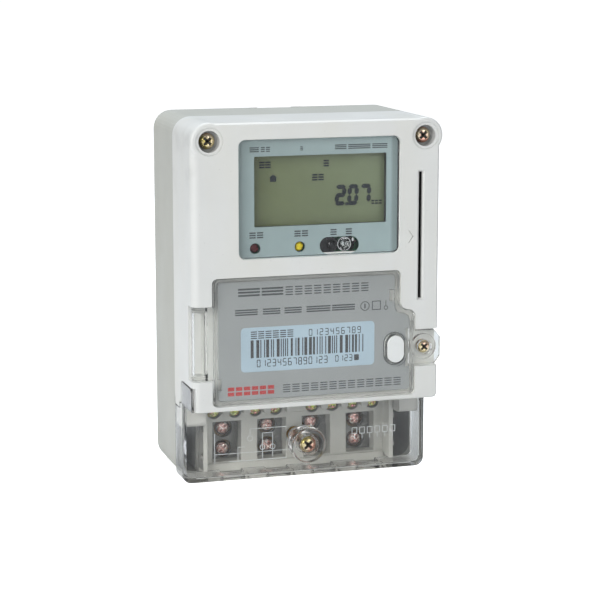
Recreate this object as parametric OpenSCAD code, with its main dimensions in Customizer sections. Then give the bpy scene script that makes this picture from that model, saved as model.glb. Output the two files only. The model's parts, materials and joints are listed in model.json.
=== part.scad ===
// Wall-mounted single-phase prepayment electricity meter: a two-part case, a hinged nameplate
// cover, a clear cover over the cable terminals, and the electronics, relay and card reader inside.
// X runs to the right and Y runs back to the wall. Z is up, and the origin is at the middle of the
// base. Depths are measured back from the front cover's face, and called d.

/* [Case] */
// Overall width
case_w = 112; // [111:0.5:114]
// Overall height
case_h = 160; // [159:0.5:163]
// Overall depth, from the button collar to the wall
case_d = 71; // [70:0.5:76]
// Depth of the front cover, from its face to the joint with the rear case
cover_d = 33; // [32.5:0.5:34]
// Wall thickness of the case
wall = 2.4; // [2:0.1:2.6]
// Corner radius of the case, seen from the front
corner_r = 8; // [7:0.5:9]

/* [Display] */
// Width of the window panel
panel_w = 72; // [70:0.5:73]
// Height of the window panel
panel_h = 50.8; // [50:0.2:51.4]
// Width of the display's visible area
view_w = 59; // [56:0.5:60]
// Height of the display's visible area
view_h = 30; // [28:0.5:31]

/* [Card slot] */
// Width of the gap that takes the card
slot_gap = 1.6; // [1.2:0.1:2]
// Height of the card slot
slot_h = 55.4; // [54.6:0.2:56]

/* [Nameplate cover] */
// Radius of the hinge barrel
barrel_r = 3.4; // [3:0.1:3.5]
// Radius of the hinge stubs
stub_r = 1.3; // [1.1:0.05:1.4]
// Running clearance round a stub or a push button
run_gap = 0.06; // [0.04:0.01:0.08]

/* [Terminals] */
// Distance between neighbouring main terminals
main_pitch = 21; // [20.5:0.1:21.3]
// Radius of the cable bores
cable_r = 3.4; // [3:0.1:3.5]
// Distance between the lower mounting holes
mount_w = 99.2; // [98:0.2:100]
// Radius of the mounting holes
mount_r = 2.7; // [2.2:0.1:2.8]

/* [Hidden] */

$fn = 48;
half_w = case_w / 2;
collar_proud = 0.6;
face_y = collar_proud - case_d / 2;
back_d = case_d - collar_proud;
back_wall = 2;
cover_z = 36.4;
skirt_z = 33.9;
ear_z = 25;
ear_d = 22.4;

// window and display
panel_x = 0.5;
panel_z = 127;
lens_gap = 0.2;
mask_t = 0.28;
rebate_d = 3;
ledge_d = 4.2;
lcd_d = 6.6;
view_x = 1.4;
view_z = 130;
led_z = 105.9;
led_r = 2.2;
led_x = [-27.8, -8];
ir_x = [6.6, 12.7];
ir_slot = [0.9, 18.6];
ir_slot_h = 7.3;
board_d = 12;
board_t = 1.6;
board_x = [-44, 42];
board_z = [42, 146.5];

// screws of the case
case_screw_x = half_w - corner_r;
case_screw_z = case_h - corner_r;
screw_head_r = 3.4;
screw_hole_r = 4.6;
screw_shank_r = 1.9;

// card slot
slot_x = 46.2;
slot_z = 81.1;

// nameplate cover: the outline of its pocket, and how the lid sits in it
lid_x = [-47.4, 37.3, 44.3];
lid_z = [38.4, 94];
lid_step_z = 76.5;
lid_gap = 0.35;
lid_left = 1.4;
lid_front = 0.6;
lid_t = 2;
pocket_d = 5.6;
floor_t = 2;
hinge_x = -52.2;
hinge_d = 3.7;
barrel_z = [50.1, 81.8];
barrel_wall = 1.1;
barrel_end = 2.2;
barrel_gap = 3.6;
stub_l = 2.6;
end_gap = 0.3;
tab_z = [51.6, 66.7];
tab_end = half_w - 0.1;
tab_screw = [48.9, 59.1];
button_x = 35.1;
button_z = 59.1;
button_size = [7.6, 11.9];
program_x = 12;
program_z = 50;
program_r = 2.5;

// terminal cover and block
clear_d = 20;
clear_t = 2;
tongue_t = 1.2;
tongue_d = [3, 22];
tongue_z = 46.4;
boss_z = 15;
boss_r = 8;
block_d = [38, 66.5];
block_x = 46;
block_h = 34;
fin_x = 43.5;
pocket_z = [4.4, 23];
cable_d = 54;
main_x = [for (i = [-1.5:1.5]) i * main_pitch];
main_screw_z = [8.6, 18.3];
aux_first = 8.7;
aux_pitch = 9.6;
aux_x = [for (side = [-1, 1], i = [0:3]) side * (aux_first + i * aux_pitch)];
aux_z = 27.6;
bar_d = [56, 57.5];
mount_z = 13.5;

// hanger
hanger_w = 24;
hanger_z = [122, 158];
hanger_d = [66.5, 68];
hanger_slot = [66.4, 68.2];

// a box given by its ranges in x, in depth and in z
module slab(x, d, z)
    translate([x[0], face_y + d[0], z[0]])
        cube([x[1] - x[0], d[1] - d[0], z[1] - z[0]]);

// a round bar along the depth
module rod(x, z, d, r)
    translate([x, face_y + d[1], z]) rotate([90, 0, 0]) cylinder(r = r, h = d[1] - d[0]);

// an upright round bar
module post(x, d, z, r)
    translate([x, face_y + d, z[0]]) cylinder(r = r, h = z[1] - z[0]);

// a front-view outline, carried along the depth
module prism(d)
    translate([0, face_y + d[1], 0]) rotate([90, 0, 0]) linear_extrude(d[1] - d[0]) children();

// a side-view outline in depth and z, carried along x
module side_prism(x)
    translate([x[0], face_y, 0]) rotate([90, 0, 90]) linear_extrude(x[1] - x[0]) children();

// a turned piece with its axis along the depth: its profile is in radius and depth
module turned(x, z)
    translate([x, face_y, z]) rotate([-90, 0, 0]) rotate_extrude() children();

module both_sides() {
    children();
    mirror([1, 0, 0]) children();
}

function arc(x, z, r, from, to, n = 8) =
    [for (i = [0:n]) let (a = from + (to - from) * i / n) [x + r * cos(a), z + r * sin(a)]];

function round_box(x, z, r) = concat(
    arc(x[1] - r, z[0] + r, r, -90, 0), arc(x[1] - r, z[1] - r, r, 0, 90),
    arc(x[0] + r, z[1] - r, r, 90, 180), arc(x[0] + r, z[0] + r, r, 180, 270));

// a plate with small lower corners and large upper ones
function case_outline(x, z, r, low_r) = concat(
    arc(x[1] - low_r, z[0] + low_r, low_r, -90, 0), arc(x[1] - r, z[1] - r, r, 0, 90),
    arc(x[0] + r, z[1] - r, r, 90, 180), arc(x[0] + low_r, z[0] + low_r, low_r, 180, 270));

// the nameplate cover's stepped outline, grown by g, with its left edge set in by left
function lid_outline(g, left = 0, r = 2.4) =
    let (s = (lid_x[2] - lid_x[1]) / 2, x0 = lid_x[0] + left - g, x1 = lid_x[1] + g,
         x2 = lid_x[2] + g, z0 = lid_z[0] - g, z1 = lid_z[1] + g, zs = lid_step_z + g)
    concat(arc(x0 + r, z0 + r, r, 180, 270), arc(x2 - r, z0 + r, r, 270, 360),
        arc(x2 - s, zs - s, s, 0, 90), arc(x1 + s, zs + s, s, 270, 180),
        arc(x1 - r, z1 - r, r, 0, 90), arc(x0 + r, z1 - r, r, 90, 180));

module stadium(x, z, w, h)
    polygon(w < h
        ? concat(arc(x, z + (h - w) / 2, w / 2, 0, 180, 16), arc(x, z - (h - w) / 2, w / 2, 180, 360, 16))
        : concat(arc(x + (w - h) / 2, z, h / 2, -90, 90, 16), arc(x - (w - h) / 2, z, h / 2, 90, 270, 16)));

// a cross-recessed pan-head screw that points along the depth
module pan_screw(x, z, head_d, r, shank_r, tip_d, head_h = 2.2) {
    difference() {
        turned(x, z) polygon([[0, head_d], [r * 0.55, head_d], [r * 0.85, head_d + head_h * 0.25],
            [r, head_d + head_h * 0.6], [r, head_d + head_h], [shank_r, head_d + head_h],
            [shank_r, tip_d - 0.6], [shank_r - 0.5, tip_d], [0, tip_d]]);
        for (turn = [0, 90])
            translate([x, face_y + head_d, z]) rotate([0, 45 + turn, 0])
                cube([r * 1.24, head_h * 1.3, r * 0.34], center = true);
    }
}

// a round-nosed lamp that stands on a board
module lamp(x, z, base_d) {
    front_d = rebate_d + 0.05;
    turned(x, z) polygon(concat(
        [for (i = [0:6]) let (a = i * 15) [led_r * sin(a), front_d + led_r * (1 - cos(a))]],
        [[led_r, base_d - 1], [led_r + 0.4, base_d - 1], [led_r + 0.4, base_d], [0, base_d]]));
}

// ---- case ----

module rear_case_form()
    hull() {
        prism([cover_d, back_d - 1.6]) polygon(round_box([-half_w, half_w], [0, case_h], corner_r));
        prism([back_d - 0.1, back_d])
            polygon(round_box([1.4 - half_w, half_w - 1.4], [1.4, case_h - 1.4], corner_r - 1.4));
    }

module rear_case() color("#bcbdb6")
    difference() {
        union() {
            difference() {
                rear_case_form();
                prism([cover_d - 1, back_d - back_wall]) polygon(round_box(
                    [wall - half_w, half_w - wall], [wall, case_h - wall], corner_r - wall));
                slab([-block_x - 0.3, block_x + 0.3], [cover_d - 1, back_d - back_wall - 1.4],
                    [-1, wall + 0.6]);
            }
            slab([0.5 - half_w, half_w - 0.5], [cover_d, back_d - 1], [block_h + 0.2, cover_z]);
            slab([-15.5, 15.5], [hanger_slot[0] - 2, back_d - 1], [hanger_z[0] - 3.5, case_h - 1]);
            both_sides() {
                rod(case_screw_x, case_screw_z, [cover_d, back_d - 1], 5);
                rod(mount_w / 2, mount_z, [back_d - 3.8, back_d - 1], mount_r + 2.2);
                rod(main_pitch, mount_z + 4, [block_d[1], back_d - 1], 5);
            }
        }
        prism([cover_d - 1, cover_d + 1]) seal_ring();
        slab([-hanger_w / 2 - 0.25, hanger_w / 2 + 0.25], hanger_slot, [hanger_z[0], case_h + 1]);
        slab([-8, 8], [hanger_slot[0], back_d + 1], [hanger_z[0] + 2, case_h + 1]);
        for (x = main_x)
            slab([x - 4.2, x + 4.2], [bar_d[0] - 0.2, bar_d[1] + 0.2], [block_h, cover_z + 1]);
        for (x = aux_x)
            slab([x - 0.8, x + 0.8], [44.2, 45.8], [block_h, cover_z + 1]);
        both_sides() {
            rod(case_screw_x, case_screw_z, [cover_d - 1, 52], screw_shank_r + 0.05);
            rod(mount_w / 2, mount_z, [back_d - 6, back_d + 1], mount_r);
            rod(main_pitch, mount_z + 4, [block_d[1] - 1, back_d + 1], 1.7);
            rod(main_pitch, mount_z + 4, [back_d - 2.2, back_d + 1], 3.6);
        }
    }

// the soft cord in the joint between the two halves of the case
module seal_ring()
    difference() {
        polygon(round_box([0.7 - half_w, half_w - 0.7], [cover_z + 0.6, case_h - 0.7], corner_r - 0.7));
        polygon(round_box([1.7 - half_w, half_w - 1.7], [cover_z + 1.6, case_h - 1.7], corner_r - 1.7));
    }

module case_seal() color("#3a3a3a") prism([cover_d, cover_d + 1]) seal_ring();

// the front cover's outside, set in by g: a rounded left edge and a slight draft on the right
module cover_form(g)
    hull() {
        prism([cover_d - 0.1, cover_d + (g > 0 ? 1 : 0)]) polygon(case_outline(
            [g - half_w, half_w - g], [cover_z + g, case_h - g], corner_r - g, 0.8));
        prism([0.8 + g, 1 + g]) polygon(case_outline(
            [hinge_x, half_w - 1.5 - g], [cover_z + g, case_h - 0.4 - g], corner_r - 1 - g, 1.8));
        prism([g, g + 0.1]) polygon(case_outline(
            [hinge_x, half_w - 2.3 - g], [cover_z + 0.6 + g, case_h - 1.2 - g], corner_r - 1.8 - g, 1.8));
        post(hinge_x - 0.1, hinge_d, [cover_z + 0.1 + g, case_screw_z - 1], hinge_d - g);
    }

module front_cover() color("#e2e2de")
    difference() {
        union() {
            difference() {
                union() {
                    cover_form(0);
                    both_sides() corner_boss();
                }
                cover_form(wall);
            }
            prism([wall - 0.1, ledge_d]) polygon(round_box(
                [panel_x - panel_w / 2 - 2, panel_x + panel_w / 2 + 2],
                [panel_z - panel_h / 2 - 2, panel_z + panel_h / 2 + 2], 4));
            prism([wall - 0.1, pocket_d + floor_t]) polygon(lid_outline(2));
            slab([40, half_w - 2.2], [wall - 0.1, pocket_d + floor_t], [tab_z[0] - 2.7, tab_z[1] + 2.7]);
            slab([0.3 - half_w, lid_x[0] + 1], [7.4, 9.4], [barrel_z[0] - 2.3, barrel_z[1] + 2.3]);
            post(hinge_x, hinge_d, [cover_z + 0.5, case_screw_z - 1], barrel_r);
            rod(tab_screw[0], tab_screw[1], [pocket_d, 14], 4.4);
            both_sides() {
                rod(case_screw_x, case_screw_z, [1, cover_d], 6.4);
                cover_ear();
            }
            board_posts();
        }
        window_cuts();
        card_slot_cut();
        lid_pocket_cuts();
        both_sides() {
            rod(case_screw_x, case_screw_z, [-1, 0.5], screw_hole_r + 1.3);
            rod(case_screw_x, case_screw_z, [-1, 5.2], screw_hole_r);
            rod(case_screw_x, case_screw_z, [-1, cover_d + 1], screw_shank_r + 0.3);
        }
        side_prism([-half_w - 1, tongue_t + 0.2 - half_w]) tongue_recess();
        for (p = board_points()) rod(p[0], p[1], [8.5, board_d + 1], 0.95);
    }

// the round corner that carries a case screw stands slightly proud of the side
module corner_boss()
    turned(case_screw_x, case_screw_z)
        polygon([[0, 0.1], [corner_r - 0.9, 0.1], [corner_r - 0.3, 0.4], [corner_r, 1], [corner_r, cover_d],
            [0, cover_d]]);

// the ears hang down behind the terminal cover, and the skirt closes the gap beside them
module cover_ear() {
    side_prism([44.8, half_w - clear_t - 0.3]) polygon(concat(
        [[cover_d, cover_z + 1], [ear_d, cover_z + 1]],
        arc(ear_d + 2, ear_z + 2, 2, 180, 270, 4), [[cover_d, ear_z]]));
    slab([half_w - clear_t - 0.4, half_w - 0.1], [25.5, cover_d], [skirt_z, cover_z + 1]);
}

function board_points() = [[-40.5, 143], [39.6, 143], [-40.5, 98], [39.6, 98], [-39, 46], [30, 46]];

module board_posts()
    for (p = board_points()) rod(p[0], p[1], [p[1] > 94 ? 1.5 : pocket_d + 1, board_d], 2.2);

module window_cuts() {
    prism([-1, rebate_d]) polygon(round_box(
        [panel_x - panel_w / 2, panel_x + panel_w / 2], [panel_z - panel_h / 2, panel_z + panel_h / 2], 3));
    prism([-1, ledge_d + 1]) polygon(round_box(
        [panel_x - panel_w / 2 + 2, panel_x + panel_w / 2 - 2],
        [panel_z - panel_h / 2 + 1.2, panel_z + panel_h / 2 - 2], 1.6));
}

// the card slot has a tapered mouth, and a shallow arrowhead beside it points into it
module card_slot_cut() {
    slot_mid = slot_z + slot_h / 2;
    slab([slot_x - slot_gap / 2, slot_x + slot_gap / 2], [-1, wall + 2], [slot_z, slot_z + slot_h]);
    translate([0, 0, slot_z - 0.6]) linear_extrude(slot_h + 1.2) polygon([
        [slot_x - 1.6, face_y - 0.01], [slot_x + 1.6, face_y - 0.01],
        [slot_x + slot_gap / 2, face_y + 0.9], [slot_x - slot_gap / 2, face_y + 0.9]]);
    for (side = [-1, 1])
        translate([42.6, face_y, slot_mid - 0.3]) rotate([0, side * 55, 0])
            translate([-1.5, 0, 0]) cube([3.6, 0.5, 0.25], center = true);
}

// everything that the nameplate cover and its hinge, tab, screw and buttons need
module lid_pocket_cuts() {
    prism([-1, pocket_d]) polygon(lid_outline(0));
    slab([lid_x[2] - 3, half_w + 1], [-1, pocket_d], [tab_z[0] - 0.7, tab_z[1] + 0.7]);
    slab([-half_w - 1, lid_x[0] - 1], [-1, 7.4], [barrel_z[0] - end_gap, barrel_z[1] + end_gap]);
    slab([lid_x[0] - 1.1, lid_x[0] + 2], [-1, pocket_d], [barrel_z[0] - end_gap, barrel_z[1] + end_gap]);
    post(hinge_x, hinge_d, [barrel_z[0] - end_gap - stub_l - 0.4, barrel_z[1] + end_gap + stub_l + 0.4],
        stub_r + run_gap);
    prism([pocket_d - 1, pocket_d + floor_t + 1])
        stadium(button_x, button_z, button_size[0] + 0.4, button_size[1] + 0.4);
    rod(program_x, program_z, [pocket_d - 1, pocket_d + floor_t + 1], program_r + run_gap);
    rod(tab_screw[0], tab_screw[1], [pocket_d - 1, 15], 3.1);
}

module tongue_recess()
    polygon(concat([[-1, cover_z - 2], [tongue_d[1] + 0.5, cover_z - 2]],
        arc(tongue_d[1] - 3, tongue_z - 3, 3.5, 0, 90, 6), [[-1, tongue_z + 0.5]]));

// ---- window and display ----

module window_outline(g, r)
    polygon(round_box([panel_x - panel_w / 2 + g, panel_x + panel_w / 2 - g],
        [panel_z - panel_h / 2 + g, panel_z + panel_h / 2 - g], r));

module window_lens() color("#dfe8ea", 0.5)
    hull() {
        prism([0.6, rebate_d - mask_t - 0.02]) window_outline(lens_gap, 2.8);
        prism([0.25, 0.4]) window_outline(lens_gap + 0.35, 2.5);
    }

module display_mask() color("#93a7aa")
    prism([rebate_d - mask_t, rebate_d])
        difference() {
            window_outline(lens_gap, 2.8);
            polygon(round_box([view_x - view_w / 2, view_x + view_w / 2],
                [view_z - view_h / 2, view_z + view_h / 2], 0.5));
            for (x = led_x) translate([x, led_z]) circle(led_r + 0.1);
            stadium((ir_slot[0] + ir_slot[1]) / 2, led_z, ir_slot[1] - ir_slot[0], ir_slot_h);
        }

module lcd_glass() color("#707b5c")
    slab([view_x - 31, view_x + 31], [lcd_d, lcd_d + 1.8], [view_z - 17, view_z + 16.5]);

module lcd_backlight() color("#e8efe0")
    slab([view_x - 31.5, view_x + 31.5], [lcd_d + 1.8, lcd_d + 4.4], [view_z - 18, view_z + 17.5]);

// the frame's deep opening shades the display from the sides
module lcd_frame() color("#3a3c40")
    difference() {
        slab([view_x - 32.6, view_x + 32.6], [rebate_d + 0.05, board_d], [view_z - 19.4, view_z + 18.9]);
        slab([view_x - 31.6, view_x + 31.6], [lcd_d - 0.1, lcd_d + 4.5], [view_z - 18.1, view_z + 17.6]);
        slab([view_x - view_w / 2 - 0.2, view_x + view_w / 2 + 0.2], [0, lcd_d],
            [view_z - view_h / 2 - 0.2, view_z + view_h / 2 + 0.2]);
        slab([view_x - 29, view_x + 29], [lcd_d + 4, board_d + 1], [view_z - 15, view_z + 15]);
    }

module pulse_led() color("#6e2226") lamp(led_x[0], led_z, board_d);
module relay_led() color("#c2a92e") lamp(led_x[1], led_z, board_d);
module ir_receiver() color("#2b2830") lamp(ir_x[0], led_z, 9);
module ir_emitter() color("#cfd6d6") lamp(ir_x[1], led_z, 9);

module ir_board() color("#2f7d57") {
    slab([-0.5, 19.5], [9, 10.2], [led_z - 4.3, led_z + 4.3]);
    slab([16.2, 18.6], [10.2, board_d], [led_z - 4, led_z + 4]);
}

// ---- electronics ----

module main_board() color("#2f6b4a")
    difference() {
        slab(board_x, [board_d, board_d + board_t], board_z);
        for (p = board_points()) rod(p[0], p[1], [board_d - 1, board_d + board_t + 1], 1.25);
    }

module board_screws() color("#b9b9b2")
    for (p = board_points())
        translate([0, 2 * (face_y + board_d + board_t), 0]) mirror([0, 1, 0])
            pan_screw(p[0], p[1], board_d + board_t - 1.6, 2.1, 0.9, board_d + board_t + 4.2, 1.6);

module key_switches() color("#2c2c2e")
    for (p = [[button_x, button_z], [program_x, program_z]]) {
        slab([p[0] - 3, p[0] + 3], [10.7, board_d], [p[1] - 3, p[1] + 3]);
        rod(p[0], p[1], [10.15, 10.8], 1.6);
    }

module card_reader_body() color("#3b3d40")
    difference() {
        union() {
            slab([slot_x - 3, slot_x - slot_gap / 2], [2.7, 60], [slot_z - 2.6, slot_z + slot_h + 2.6]);
            for (z = [slot_z - 2.6, slot_z + slot_h + 0.4])
                slab([slot_x - 1, slot_x + slot_gap / 2 - 0.05], [2.7, 60], [z, z + 2.2]);
        }
        slab([slot_x - 1.4, slot_x], [44, 56], [slot_z + 18, slot_z + 36]);
    }

module card_reader_lid() color("#46484c")
    slab([slot_x + slot_gap / 2, slot_x + 3], [2.7, 60], [slot_z - 2.6, slot_z + slot_h + 2.6]);

module card_contacts() color("#c9a44a")
    for (row = [0:3], bank = [0, 1])
        slab([slot_x - 1.4, slot_x - 0.95], [45 + bank * 5.4, 49 + bank * 5.4],
            [slot_z + 19.4 + row * 4, slot_z + 21.4 + row * 4]);

module latching_relay() color("#25282c")
    slab([-38, -4], [44, 62], [44, 74]);

module busbars() color("#b87346")
    for (x = main_x)
        difference() {
            slab([x - 4, x + 4], bar_d, [24.1, 44]);
            rod(x, 40, [bar_d[0] - 1, bar_d[1] + 1], 1.2);
        }

module neutral_link() color("#b87346")
    slab([main_x[2] - 4, main_x[3] + 4], bar_d, [44, 49]);

module current_transformer() color("#33506e")
    translate([main_pitch, face_y + (bar_d[0] + bar_d[1]) / 2, 46.5]) rotate([0, 90, 0])
        difference() {
            cylinder(r = 9, h = 8, center = true);
            cylinder(r = 3.4, h = 9, center = true);
        }

module capacitors() color("#2d4a86")
    for (p = [[-30, 84], [-17, 84], [-4, 84]])
        rod(p[0], p[1], [board_d + board_t, 33], 5);

module backup_battery() color("#c8b23a")
    post(24, 22, [60, 86], 7.2);

module radio_module() color("#3d3f45")
    slab([-36, 4], [board_d + board_t, 22], [104, 144]);

// ---- terminals ----

module terminal_block() color("#b4b6b2")
    difference() {
        union() {
            slab([-block_x, block_x], block_d, [0, block_h]);
            slab([-fin_x + 1.5, fin_x - 1.5], [35.6, block_d[0] + 0.1], [0.4, 4.2]);
            slab([-4.4, 4.4], [34.4, block_d[0] + 0.1], [26, block_h]);
            both_sides() {
                slab([fin_x - 1, fin_x + 1], [29.5, block_d[0] + 1], [2.6, block_h]);
                for (i = [0:2]) block_tooth(aux_first + (i + 0.5) * aux_pitch);
                for (z = [9, 22])
                    translate([fin_x + 0.9, face_y + 31.5, z]) rotate([0, 90, 0]) cylinder(r = 1.3, h = 1);
            }
        }
        for (x = main_x) main_terminal_cuts(x);
        for (x = aux_x) {
            rod(x, aux_z, [block_d[0] - 1, 41.2], 3.2);
            slab([x - 3, x + 3], [41, 48], [24.6, 31.4]);
            slab([x - 0.7, x + 0.7], [44.3, 45.7], [31, block_h + 1]);
        }
        rod(0, boss_z, [block_d[0] - 1, 49], 3.5);
        both_sides() rod(main_pitch, mount_z + 4, [58, block_d[1] + 1], 1.5);
    }

module block_tooth(x)
    prism([34.4, block_d[0] + 0.1]) polygon([[x - 1.7, block_h], [x - 1.7, 27], [x - 1, 26.2],
        [x + 1, 26.2], [x + 1.7, 27], [x + 1.7, block_h]]);

module main_terminal_cuts(x) {
    slab([x - 6.7, x + 6.7], [block_d[0] - 3, 45.2], pocket_z);
    for (z = main_screw_z) rod(x, z, [45, 48], 4.3);
    slab([x - 5.1, x + 5.1], [47.5, 60.1], [3, 24.1]);
    post(x, cable_d, [-1, 4], cable_r + 0.8);
    slab([x - 4.1, x + 4.1], [bar_d[0] - 0.1, bar_d[1] + 0.1], [24, block_h + 1]);
}

module main_terminals() color("#b9974e")
    for (x = main_x)
        difference() {
            slab([x - 5, x + 5], [47.6, 60], [3, 24]);
            post(x, cable_d, [2, 21], cable_r);
            for (z = main_screw_z) rod(x, z, [47, cable_d], 2.05);
        }

module main_terminal_screws() color("#a8805e")
    for (x = main_x, z = main_screw_z)
        pan_screw(x, z, 45.3, screw_head_r, 2, 50.2);

module aux_terminals() color("#b9974e")
    for (x = aux_x)
        difference() {
            slab([x - 2.9, x + 2.9], [41.1, 47.9], [24.7, 31.3]);
            rod(x, aux_z, [40, 46], 1.5);
        }

module aux_terminal_screws() color("#a9a552")
    for (x = aux_x) pan_screw(x, aux_z, 37.6, 2.75, 1.45, 45.6, 2.3);

module aux_leads() color("#c9b27a")
    for (x = aux_x) slab([x - 0.5, x + 0.5], [44.5, 45.5], [31.3, 41]);

module block_screws() color("#c9c9c0")
    both_sides()
        translate([0, 2 * (face_y + back_d), 0]) mirror([0, 1, 0])
            pan_screw(main_pitch, mount_z + 4, back_d + 0.25, 3.1, 1.45, back_d + 11.8, 1.9);

module terminal_insert() color("#b9974e")
    difference() {
        rod(0, boss_z, [38.4, 49], 3.45);
        rod(0, boss_z, [38, 48], 2);
    }

// ---- screws of the case ----

module case_screws() color("#c2b280")
    both_sides() pan_screw(case_screw_x, case_screw_z, 2.9, screw_head_r, screw_shank_r, 50);

module cover_insert() color("#b9974e")
    difference() {
        rod(tab_screw[0], tab_screw[1], [pocket_d + floor_t, 13.5], 3.05);
        rod(tab_screw[0], tab_screw[1], [pocket_d, 13], 2);
    }

// ---- nameplate cover ----

module nameplate_cover() color("#d5dadb", 0.45)
    difference() {
        union() {
            prism([lid_front, lid_front + lid_t]) polygon(lid_outline(-lid_gap, lid_left - lid_gap));
            prism([lid_front + lid_t - 0.1, 5])
                difference() {
                    polygon(lid_outline(-lid_gap, lid_left - lid_gap));
                    polygon(lid_outline(-lid_gap - 1.6, lid_left - lid_gap, 1.4));
                }
            hinge_barrel();
            prism([lid_front, 3]) tab_outline();
            rod(tab_screw[0], tab_screw[1], [lid_front, 5.2], 5.6);
            prism([-collar_proud, lid_front + 1])
                stadium(button_x, button_z, button_size[0] + 2.7, button_size[1] + 3.2);
            for (clip = [[-44.2, 47.7], [33.9, 82.7]])
                slab([clip[0] - 1.1, clip[0] + 1.1], [lid_front + 1, 4.2], [clip[1] - 2.4, clip[1] + 2.4]);
        }
        prism([-2, 6]) stadium(button_x, button_z, button_size[0] + 0.7, button_size[1] + 0.7);
        rod(tab_screw[0], tab_screw[1], [-1, 3.4], 3.3);
        rod(tab_screw[0], tab_screw[1], [3, 6], 1.9);
    }

// a channel that is open at the back, with a disc and a stub at each end and a web to the lid
module hinge_barrel()
    difference() {
        union() {
            post(hinge_x, hinge_d, [barrel_z[0] - stub_l, barrel_z[1] + stub_l], stub_r);
            post(hinge_x, hinge_d, [barrel_z[0] + 0.9, barrel_z[1] - 0.9], barrel_r);
            for (z = [barrel_z[0], barrel_z[1] - 0.6]) post(hinge_x, hinge_d, [z, z + 0.6], barrel_r);
            post(hinge_x, hinge_d, barrel_z, barrel_r - 0.6);
            slab([hinge_x, lid_x[0] + lid_left + 1], [lid_front + 0.3, lid_front + 2.6], barrel_z);
        }
        post(hinge_x, hinge_d, [barrel_z[0] + barrel_end, barrel_z[1] - barrel_end], barrel_r - barrel_wall);
        slab([hinge_x - barrel_gap / 2, hinge_x + barrel_gap / 2], [hinge_d, hinge_d + barrel_r + 1],
            [barrel_z[0] + barrel_end, barrel_z[1] - barrel_end]);
    }

module tab_outline()
    polygon([[lid_x[2] - 2, tab_z[0]], [tab_end - 2.6, tab_z[0]], [tab_end, tab_z[0] + 3.2],
        [tab_end, tab_z[1] - 3.2], [tab_end - 2.6, tab_z[1]], [lid_x[2] - 2, tab_z[1]]]);

module nameplate() color("#9aa0a3")
    prism([2.76, 3.16])
        difference() {
            polygon(lid_outline(-lid_gap - 1.8, lid_left - lid_gap, 1.2));
            stadium(button_x, button_z, button_size[0] + 1.6, button_size[1] + 1.6);
            for (clip = [[-44.2, 47.7], [33.9, 82.7]])
                translate([clip[0] - 1.3, clip[1] - 2.6]) square([2.6, 5.2]);
            translate([lid_x[2] - 4, tab_z[0] - 1]) square([5, tab_z[1] - tab_z[0] + 2]);
        }

module barcode_label() color("#b2c8da")
    prism([2.64, 2.76]) polygon(round_box([-34.3, 25.9], [52.5, 71.9], 1.8));

module nameplate_screw() color("#c2b280")
    pan_screw(tab_screw[0], tab_screw[1], 1.5, 2.9, 1.5, 11.5, 1.9);

module display_button() color("#eef0ee") {
    prism([-0.4, pocket_d + floor_t + 0.1]) stadium(button_x, button_z, button_size[0], button_size[1]);
    prism([pocket_d + floor_t + 0.05, 8.8])
        stadium(button_x, button_z, button_size[0] + 2.2, button_size[1] + 2.2);
}

module program_button() color("#d8d8d2") {
    rod(program_x, program_z, [4.7, pocket_d + floor_t + 0.1], program_r);
    rod(program_x, program_z, [pocket_d + floor_t + 0.05, 8.4], program_r + 0.9);
    rod(program_x, program_z, [8.3, 9.1], 1.2);
}

// ---- terminal cover ----

module terminal_cover() color("#cdd2d2", 0.4)
    difference() {
        union() {
            difference() {
                prism([clear_d, cover_d - 0.1]) cover_outline(0);
                prism([clear_d + clear_t, cover_d + 1]) cover_outline(clear_t);
                slab([-half_w - 1, half_w + 1], [25.2, cover_d + 1], [skirt_z - 0.3, cover_z + 1]);
            }
            side_prism([-half_w, tongue_t - half_w]) polygon(concat(
                [[tongue_d[0], 30], [tongue_d[1], 30]],
                arc(tongue_d[1] - 3, tongue_z - 3, 3, 0, 90, 6),
                arc(tongue_d[0] + 3, tongue_z - 3, 3, 90, 180, 6)));
            turned(0, boss_z) polygon([[0, 14], [boss_r - 0.6, 14], [boss_r, 14.6],
                [boss_r, clear_d + 0.5], [0, clear_d + 0.5]]);
            rod(0, boss_z, [clear_d + 1, 24.5], 4.6);
        }
        slab([-half_w - 1, half_w + 1], [-1, clear_d], [28, cover_z - 0.4]);
        rod(0, boss_z, [13, 17.4], 4.3);
        rod(0, boss_z, [16, 25], 2.15);
        for (x = main_x) slab([x - 5, x + 5], [27, cover_d + 1], [-1, 3]);
        for (x = main_x, side = [-1, 1])
            slab([x + side * 6.2 - 0.25, x + side * 6.2 + 0.25], [clear_d + 3, 27], [0, 0.8]);
    }

module cover_outline(g)
    polygon(concat(
        arc(half_w - 4, 4.3, 4 - g, -90, 0, 6), [[half_w - g, cover_z - 0.3 + g]],
        [[g - half_w, cover_z - 0.3 + g]], arc(4 - half_w, 4.3, 4 - g, 180, 270, 6)));

module terminal_screw() color("#c9b7a0")
    pan_screw(0, boss_z, 15, 3.7, 1.95, 47, 2.3);

module screw_clip() color("#a9adb0")
    difference() {
        rod(0, boss_z, [34.4, 35.2], 3.6);
        rod(0, boss_z, [34, 36], 1.98);
    }

// ---- hanger ----

module hanger_plate() color("#b5b9bc")
    difference() {
        union() {
            slab([-hanger_w / 2, hanger_w / 2], hanger_d, [hanger_z[0] + 0.3, 146]);
            prism(hanger_d) polygon(round_box([-7, 7], [140, hanger_z[1]], 5));
        }
        rod(0, 151.5, [hanger_d[0] - 1, hanger_d[1] + 1], 2.6);
    }

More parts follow.
